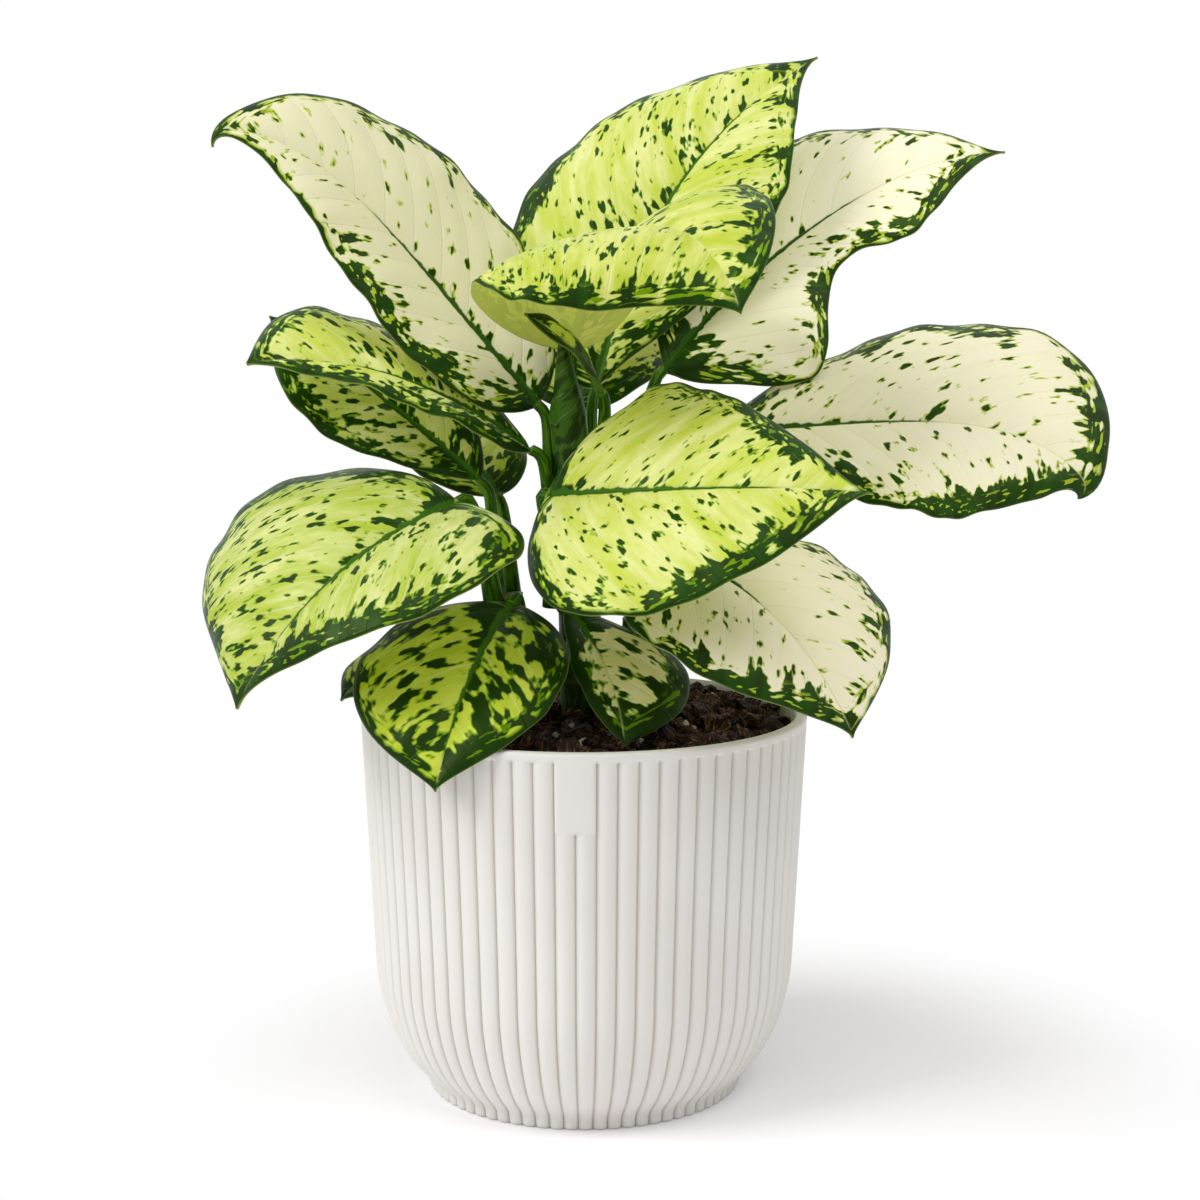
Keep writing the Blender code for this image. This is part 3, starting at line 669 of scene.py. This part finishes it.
variegation = makeVariegation()
for seed, (name, leaf) in enumerate(leaves.items(), 1):
    leaf = {**plainLeaf, **leaf, "seed": seed}
    looks = {**leafLooks[leaf["colour"]], **leaf["looks"], "Seed": seed}
    makeLeaf(name, leaf, leafMaterial(name + "_skin", looks, marks["specular"]))
print("leaves made")


spear = dict(
    foot=(-.003, -.004, .2045), top=(-.007, -.014, .252),
    radii=(.0050, .0062, .0060, .0036, .0012), sides=64, rings=60, wrap=.12, turns=.9,
    placeEdge=.012, lastShare=.9, specular=.35,
    looks={"Seed": 19, "Soak": 0, "Flecks": .5, "Midrib": .01, "Base": tone(50, 90, 14),
           "Wash": tone(36, 72, 6), "Under": tone(36, 72, 6), "Halo": tone(26, 58, 3)},
)


def spearShape(share, turn):
    # one overlapping edge that winds round the roll
    lap = (turn / (2 * math.pi) + spear["turns"] * share) % 1
    return 1 + spear["wrap"] * (lap - .5)


def makeSpear():
    points, faces, place = tube(spear["foot"], spear["top"], spear["radii"], spear["sides"],
                                spear["rings"], spearShape)
    none = np.zeros(len(place))
    kind = np.stack([none, none, place[:, 2] * spear["lastShare"]], axis=1)
    place[:, 2] = spear["placeEdge"]
    looks = {**leafLooks["dark"], **spear["looks"]}
    material = leafMaterial("rolled_leaf_skin", looks, spear["specular"])
    attributes = {"bladePlace": place, "bladeKind": kind}
    fit(newPiece("rolled_leaf_spear", points, faces, material, attributes, 40), "leaf_dark", "rolled_leaf")


stemSkin = dict(
    sides=48, count=90, rings=7, ringPower=.4, ringRise=.07, fluting=.03,
    fibreRun=.2, fibreScale=600, corkShare=.7, specular=.4, rough=(.42, .58), bump=(.5, .0004),
    shades=(tone(34, 72, 8), tone(74, 116, 22)), scar=tone(120, 104, 62),
)


def stemShape(share, turn):
    # low rings where old leaves grew
    rings = 1 - np.abs(np.sin(share * math.pi * stemSkin["rings"])) ** stemSkin["ringPower"]
    return 1 + stemSkin["ringRise"] * rings + stemSkin["fluting"] * np.sin(3 * turn + 5 * share)


def makeStems():
    material, tree, shader = newMaterial("stem_skin", stemSkin["specular"])
    place = stored(tree, "bladePlace")
    x, y, share = split(tree, place)
    fibrePlace = joined(tree, x, times(tree, y, stemSkin["fibreRun"]), 0.0)
    fibre = clouds(tree, fibrePlace, stemSkin["fibreScale"], 3.0)
    skin = mixed(tree, smooth(tree, fibre, .35, .65), *stemSkin["shades"])
    scars = maths(tree, "ABSOLUTE", maths(tree, "SINE", times(tree, share, math.pi * stemSkin["rings"])))
    corky = times(tree, smooth(tree, scars, .25, 0.0), stemSkin["corkShare"])
    dress(tree, shader, stemSkin, mixed(tree, corky, skin, stemSkin["scar"]), fibre, fibre)
    for name, stem in stems.items():
        points, faces, place = tube(**stem, sides=stemSkin["sides"], count=stemSkin["count"],
                                    shaping=stemShape)
        fit(newPiece(name + "_shoot", points, faces, material, {"bladePlace": place}), "stem", name)


makeSpear()
makeStems()
print("spear and stems made")


pot = dict(
    height=.128, rimRadius=.0751, wallTaper=.05, bowlHeight=.038, bowlDepth=.018,
    bowlPower=1.8, footRadius=.0520, footHeight=.0050, footBlend=.0080, soften=.0022,
    footRound=.0016, wall=.0039, floor=.0050, ribs=70, panelSquare=14, panelStep=.0008,
    panelClear=.0010, innerTop=.004, innerFoot=.012, innerRings=30, innerTurn=(.004, .014),
    ribDepth=.0014, firstGroove=-.03, panelBottom=.1025, ribTop=.1255, fade=.0010,
    rimRound=.0011, columnsPerRib=14, ribRound=.7, fadeEnd=.0002, bowlRings=48,
    roundSteps=8, footRings=8, wallRings=(12, 7, 6, 6), fadeShare=.8, softenSteps=9, sharpAngle=50,
    cloudScale=18, grainScale=2600, paintedGrooveShade=.6, footDarken=.06, footDarkenHeight=(.012, .004),
    specular=.25, rough=(.50, .62), bump=(.25, .0002), shades=(tone(240, 238, 233), tone(236, 233, 227)),
    # tone of the painted shade in the rib grooves, also used to darken the pot towards the bottom of the foot
    grooveShadeAndFootDark=tone(196, 190, 178), speck=tone(226, 222, 214), speckShare=.25,
)
panelFoot = (pot["panelBottom"] - pot["panelStep"], pot["panelBottom"] + pot["panelStep"])


def outline(height):
    aboveFoot = np.clip((height - pot["footHeight"]) / pot["bowlHeight"], 0, 1)
    power = pot["bowlPower"]
    drawIn = pot["bowlDepth"] * (1 - (1 - (1 - aboveFoot) ** power) ** (1 / power))
    bowl = pot["rimRadius"] - pot["wallTaper"] * (pot["height"] - height) - drawIn
    nearness = np.maximum(1 - np.abs(bowl - pot["footRadius"]) / pot["footBlend"], 0)
    return np.maximum(bowl, pot["footRadius"]) + nearness ** 2 * pot["footBlend"] / 4


def outerRadius(height):
    # the outline with its turn into the foot softened
    shifts = np.linspace(-pot["soften"], pot["soften"], pot["softenSteps"])
    return np.mean([outline(height + shift) for shift in shifts], axis=0)


def step(value, low, high):
    t = np.clip((value - low) / (high - low), 0, 1)
    return t * t * (3 - 2 * t)


def ribDepthAt(position, height):
    # position counts ribs from the groove under the panel
    across = np.abs(2 * (position % 1) - 1)
    rib = pot["ribRound"] * across ** 2 + (1 - pot["ribRound"]) * (1 - np.sqrt(1 - across ** 4))
    fromPanel = (position + pot["ribs"] / 2) % pot["ribs"] - pot["ribs"] / 2
    onPanel = np.abs(fromPanel) < 1
    panel = 1 - np.sqrt(1 - np.clip(np.abs(fromPanel), 0, 1) ** pot["panelSquare"])
    rise = step(height, *panelFoot)
    shape = np.where(onPanel, rib + (panel - rib) * rise, rib)
    fadeOut = 1 - step(height, pot["ribTop"] - pot["fade"], pot["ribTop"] + pot["fadeEnd"])
    return pot["ribDepth"] * shape * fadeOut


def makePot():
    columns = pot["ribs"] * pot["columnsPerRib"]
    position = np.arange(columns) / pot["columnsPerRib"]
    turn = pot["firstGroove"] + position * 2 * math.pi / pot["ribs"]
    quarter = np.linspace(0, math.pi / 2, pot["roundSteps"])
    footRound = pot["footRound"]
    outside = [(footRound * (1 - math.sin(a)), outerRadius(footRound) - footRound * (1 - math.cos(a)))
               for a in quarter[::-1]]
    foot = np.linspace(footRound, pot["footHeight"], pot["footRings"])[1:-1]
    bowl = pot["footHeight"] + pot["bowlHeight"] * (1 - np.cos(np.linspace(0, math.pi / 2, pot["bowlRings"])))
    panel, clear, end, fade = (pot[key] for key in ("panelBottom", "panelClear", "ribTop", "fade"))
    spans = ((bowl[-1], panel - clear), panelFoot, (panel + clear, end - fade),
             (end - fade * pot["fadeShare"], end + pot["fadeEnd"]))
    wall = np.concatenate([np.linspace(*span, count) for span, count in zip(spans, pot["wallRings"])])[1:]
    outside += [(z, outerRadius(z)) for z in (*foot, *bowl, *wall)]
    top, curve = pot["height"], pot["rimRound"]
    rim = [(top - curve * (1 - math.sin(a)), pot["rimRadius"] - curve * (1 - math.cos(a))) for a in quarter]
    inside = pot["rimRadius"] - pot["wall"]
    rim += [(top - curve * (1 - math.cos(a)), inside + curve * (1 - math.sin(a))) for a in quarter]
    levels = np.linspace(top - pot["innerTop"], pot["footHeight"] + pot["innerFoot"], pot["innerRings"])
    inner = [(z, outerRadius(z) - pot["wall"]) for z in levels]
    small, large = pot["innerTurn"]
    inner += [(pot["floor"] + small, inner[-1][1] - small), (pot["floor"], inner[-1][1] - large)]
    rings, depths = [], []
    for k, (z, radius) in enumerate(outside + rim + inner):
        depth = ribDepthAt(position, z) if k < len(outside) else np.zeros(columns)
        r = radius - depth
        rings.append(np.stack([r * np.sin(turn), -r * np.cos(turn), np.full(columns, z)], axis=1))
        depths.append(depth / pot["ribDepth"])
    rings = np.array(rings)
    faces = ringFaces(len(rings), columns)
    points = np.concatenate([rings.reshape(-1, 3), [[0, 0, pot["floor"]]]])
    depths = np.append(np.concatenate(depths), 0)
    grooves = np.stack([depths, points[:, 2], np.zeros(len(points))], axis=1)

    material, tree, shader = newMaterial("matte_white_plastic", pot["specular"])
    where = add(tree, "TexCoord").outputs["Object"]
    cloudy = clouds(tree, where, pot["cloudScale"], 3.0)
    grain = clouds(tree, where, pot["grainScale"], 2.0)
    colour = mixed(tree, smooth(tree, cloudy, .35, .65), *pot["shades"])
    depth, level, _ = split(tree, stored(tree, "grooveDepth"))
    # painted shade: the colour goes darker in the rib grooves, most where they cut deepest
    paintedGrooveShade = smooth(tree, depth, .25, 1.0, 0.0, pot["paintedGrooveShade"])
    # the pot also goes darker towards the bottom of the foot
    grooveShadeAndFootDark = scaled(tree, smooth(tree, level, *pot["footDarkenHeight"]), pot["footDarken"], paintedGrooveShade)
    colour = mixed(tree, grooveShadeAndFootDark, colour, pot["grooveShadeAndFootDark"])
    colour = mixed(tree, smooth(tree, grain, .55, .8, 0.0, pot["speckShare"]), colour, pot["speck"])
    dress(tree, shader, pot, colour, cloudy, grain)
    piece = newPiece("ribbed_pot", points, faces, material, {"grooveDepth": grooves}, pot["sharpAngle"])
    fit(piece, "pot_plastic", "pot")


makePot()
print("pot made")


soil = dict(
    edge=.1232, crown=.1270, radius=.0702, foot=.06, rings=70, sides=220,
    roughness=.0011, lumps=160, footShare=.93, calmEdge=.97, below=.0008,
    centre=.02, calmShare=.3, slice=.3, fractal=(.9, 2.1, 4), crumbScale=900,
    specular=.25, rough=(.95, .7), bump=(.9, .0012), shades=(tone(20, 10, 5), tone(70, 40, 22)),
)
# a chip's width and height are shares of its length
mulch = dict(
    count=470, length=(.0040, .0115), width=(.40, .75), height=(.26, .55),
    inner=.004, outer=.0675, tilt=45, sink=.3, seed=7,
    fibreRun=.18, fibreScale=1300, bodyScale=60, specular=.3, rough=(.9, .62), bump=(.9, .0008),
    dark=(tone(18, 8, 4), tone(44, 22, 11)), light=(tone(104, 62, 34), tone(172, 120, 76)),
    fibreStep=(.50, .68), sharpAngle=28,
)
lumpShape = dict(reach=.42, uneven=.32, most=1.5, blunt=.75)
grains = dict(
    count=24, size=(.0015, .0025), stretch=(1.3, 1.1, 1), inner=.025, outer=.064, tilt=30,
    sink=-.3, seed=11, front=((.033, -.026), (.036, -.0255)), poreScale=1800, specular=.3,
    rough=(.95, .75), bump=(.8, .0006), shades=(tone(206, 204, 198), tone(246, 246, 243)), sharpAngle=40,
)


def soilLevel(radius):
    return soil["edge"] + (soil["crown"] - soil["edge"]) * (1 - (radius / soil["radius"]) ** 2)


def makeSoil():
    turn = np.linspace(0, 2 * math.pi, soil["sides"], endpoint=False)
    radii = soil["radius"] * np.linspace(1, soil["centre"], soil["rings"])
    bottom = soil["radius"] * soil["footShare"]
    foot = np.full(len(turn), soil["foot"])
    rings = [np.stack([bottom * np.cos(turn), bottom * np.sin(turn), foot], axis=1)]
    for radius in radii:
        x, y = radius * np.cos(turn), radius * np.sin(turn)
        rough = [noise.fractal(Vector((a, b, soil["slice"])) * soil["lumps"], *soil["fractal"])
                 for a, b in zip(x, y)]
        fade = 1 if radius < soil["radius"] * soil["calmEdge"] else soil["calmShare"]
        z = soilLevel(radius) - soil["below"] + soil["roughness"] * fade * np.array(rough)
        rings.append(np.stack([x, y, z], axis=1))
    points = np.concatenate([*rings, [[0, 0, soilLevel(0)]]])
    material, tree, shader = newMaterial("damp_compost", soil["specular"])
    where = add(tree, "TexCoord").outputs["Object"]
    crumbs = clouds(tree, where, soil["crumbScale"], 4.0, .6)
    colour = mixed(tree, smooth(tree, crumbs, .35, .7), *soil["shades"])
    dress(tree, shader, soil, colour, crumbs, crumbs)
    faces = ringFaces(len(rings), soil["sides"])
    fit(newPiece("compost_bed", points, faces, material), "soil", "potting_soil")


def lump():
    # closed ball one unit across, shaped later
    ball = bpy.data.meshes.new("lump")
    form = bmesh.new()
    bmesh.ops.create_icosphere(form, subdivisions=2, radius=.5)
    form.to_mesh(ball)
    form.free()
    points = np.array([tuple(v.co) for v in ball.vertices])
    faces = [tuple(p.vertices) for p in ball.polygons]
    bpy.data.meshes.remove(ball)
    return points, faces


def turnAbout(axis, angle):
    first, second = (axis + 1) % 3, (axis + 2) % 3
    matrix = np.eye(3)
    matrix[first, first] = matrix[second, second] = math.cos(angle)
    matrix[first, second], matrix[second, first] = -math.sin(angle), math.sin(angle)
    return matrix


def scatterLumps(settings, rng, shapeOf, places=()):
    # lumps spread over the soil: points, faces and each point's place on its own lump
    ball, ballFaces = lump()
    allPoints, allFaces, allPlaces = [], [], []
    for k in range(settings["count"]):
        radius = math.sqrt(rng.uniform(settings["inner"] ** 2, settings["outer"] ** 2))
        angle = rng.uniform(0, 2 * math.pi)
        if k < len(places):
            x, y = places[k]
            radius, angle = math.hypot(x, y), math.atan2(y, x)
        size, tilt, sink = shapeOf(rng)
        radius = min(radius, soil["radius"] - size[0] * lumpShape["reach"])
        dents = rng.standard_normal(len(ball)).clip(-lumpShape["most"], lumpShape["most"])
        shape = ball * (1 + lumpShape["uneven"] * dents)[:, None]
        shape = np.sign(shape) * np.abs(shape) ** lumpShape["blunt"] * .5 ** (1 - lumpShape["blunt"])
        local = shape * np.array(size)
        yaw, pitch, bank = rng.uniform(0, 2 * math.pi), *np.radians(rng.uniform(-tilt, tilt, 2))
        placed = local @ (turnAbout(2, yaw) @ turnAbout(1, pitch) @ turnAbout(0, bank)).T
        centre = np.array([radius * math.cos(angle), radius * math.sin(angle), soilLevel(radius)])
        centre[2] += size[2] * (.5 - sink)
        allFaces += [tuple(len(allPoints) * len(ball) + i for i in face) for face in ballFaces]
        allPoints.append(placed + centre)
        allPlaces.append(local + rng.uniform(0, 1, 3))
    return np.concatenate(allPoints), allFaces, np.concatenate(allPlaces)


def barkShape(rng):
    length = rng.uniform(*mulch["length"])
    return ((length, length * rng.uniform(*mulch["width"]), length * rng.uniform(*mulch["height"])),
            mulch["tilt"], mulch["sink"])


def grainShape(rng):
    size = rng.uniform(*grains["size"])
    return [size * share for share in grains["stretch"]], grains["tilt"], grains["sink"]


def makeMulch():
    material, tree, shader = newMaterial("bark_fibre", mulch["specular"])
    place = stored(tree, "chipPlace")
    x, y, z = split(tree, place)
    fibrePlace = joined(tree, times(tree, x, mulch["fibreRun"]), y, z)
    fibre = clouds(tree, fibrePlace, mulch["fibreScale"], 4.0, .65)
    body = clouds(tree, place, mulch["bodyScale"], 1.0)
    dark, light = (mixed(tree, smooth(tree, body, .3, .7), *mulch[key]) for key in ("dark", "light"))
    colour = mixed(tree, smooth(tree, fibre, *mulch["fibreStep"]), dark, light)
    dress(tree, shader, mulch, colour, fibre, fibre)
    rng = np.random.default_rng(mulch["seed"])
    points, faces, places = scatterLumps(mulch, rng, barkShape)
    chips = [f"bark_chip_{k:02d}" for k in range(1, 15)]
    piece = newPiece("bark_mulch", points, faces, material, {"chipPlace": places}, mulch["sharpAngle"])
    fit(piece, "bark", *chips)

    material, tree, shader = newMaterial("perlite_foam", grains["specular"])
    where = add(tree, "TexCoord").outputs["Object"]
    pores = clouds(tree, where, grains["poreScale"], 3.0, .6)
    colour = mixed(tree, smooth(tree, pores, .35, .6), *grains["shades"])
    dress(tree, shader, grains, colour, pores, pores)
    rng = np.random.default_rng(grains["seed"])
    nodes = [f"perlite_{k}" for k in range(1, 6)]
    middles = [tuple(np.mean(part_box(node), axis=0)[:2]) for node in nodes]
    points, faces, places = scatterLumps(grains, rng, grainShape, [*middles, *grains["front"]])
    piece = newPiece("perlite_grains", points, faces, material, {"chipPlace": places}, grains["sharpAngle"])
    fit(piece, "perlite", *nodes)


makeSoil()
makeMulch()
print("soil made")


studio = dict(
    floorSides=96, floorRadius=3.0, speckScale=300, clearRadius=(.08, .20), clearShift=.04,
    specular=.1, rough=.9, shades=(tone(246, 244, 246), tone(249, 247, 249)),
    ambient=.46, lift=.11, aim=(0, 0, .15),
    key=dict(place=(-1.40, -.60, 1.40), size=1.0, power=19.0),
    top=dict(place=(.60, -.70, 2.10), size=1.4, power=17.0),
)


def seenRay(tree):
    # one for rays that show the background, none for those that light the plant
    path = add(tree, "LightPath").outputs
    mirrored = maths(tree, "MAXIMUM", path["Is Glossy Ray"], path["Is Transmission Ray"])
    return maths(tree, "MAXIMUM", path["Is Camera Ray"], mirrored)


def makeFloor():
    count, radius = studio["floorSides"], studio["floorRadius"]
    turn = np.linspace(0, 2 * math.pi, count, endpoint=False)
    points = np.stack([radius * np.cos(turn), radius * np.sin(turn), np.zeros(count)], axis=1)
    material, tree, shader = newMaterial("studio_floor", studio["specular"])
    where = add(tree, "TexCoord").outputs["Object"]
    x, y, _ = split(tree, where)
    sideways = minus(tree, x, studio["clearShift"])
    flat = joined(tree, sideways, y, 0.0)
    distance = add(tree, "VectorMath", {0: flat}, operation="LENGTH").outputs["Value"]
    speck = clouds(tree, where, studio["speckScale"], 2.0)
    feed(tree, shader, {"Base Color": mixed(tree, speck, *studio["shades"]), "Roughness": studio["rough"]})
    seen = seenRay(tree)
    white = add(tree, "Emission", {"Color": (1, 1, 1, 1), "Strength": 1.0}).outputs[0]
    away = times(tree, smooth(tree, distance, *studio["clearRadius"]), seen)
    lift = add(tree, "Emission", {"Color": (1, 1, 1, 1), "Strength": times(tree, seen, studio["lift"])})
    near = add(tree, "AddShader", {0: shader.outputs[0], 1: lift.outputs[0]}).outputs[0]
    blend = add(tree, "MixShader", {0: away, 1: near, 2: white}).outputs[0]
    tree.links.new(blend, tree.nodes["Material Output"].inputs["Surface"])
    floor = newPiece("studio_floor", points, [tuple(range(count))], material)


def makeWorld():
    world = bpy.data.worlds.new("studio")
    bpy.context.scene.world = world
    world.use_nodes = True
    tree = world.node_tree
    back = tree.nodes["Background"]
    back.inputs["Color"].default_value = (1, 1, 1, 1)
    seen = seenRay(tree)
    level = scaled(tree, seen, 1 - studio["ambient"], studio["ambient"])
    tree.links.new(level, back.inputs["Strength"])


def makeLamp(name, place, size, power):
    lamp = bpy.data.lights.new(name, "AREA")
    lamp.size, lamp.energy = size, power
    item = bpy.data.objects.new(name, lamp)
    item.location = place
    item.rotation_euler = (Vector(studio["aim"]) - Vector(place)).to_track_quat("-Z", "Y").to_euler()
    bpy.context.scene.collection.objects.link(item)


view = dict(place=(.0054, -.750, .2653), downTilt=7.586, lens=67.62, sensor=36)


def makeCamera():
    camera = bpy.data.cameras.new("camera")
    camera.lens, camera.sensor_width = view["lens"], view["sensor"]
    item = bpy.data.objects.new("camera", camera)
    item.location = view["place"]
    item.rotation_euler = (math.pi / 2 - math.radians(view["downTilt"]), 0, 0)
    bpy.context.scene.collection.objects.link(item)
    bpy.context.scene.camera = item


makeFloor()
makeWorld()
makeLamp("key", **studio["key"])
makeLamp("top", **studio["top"])
makeCamera()
bpy.context.scene.view_settings.view_transform = "Standard"
print("studio made")
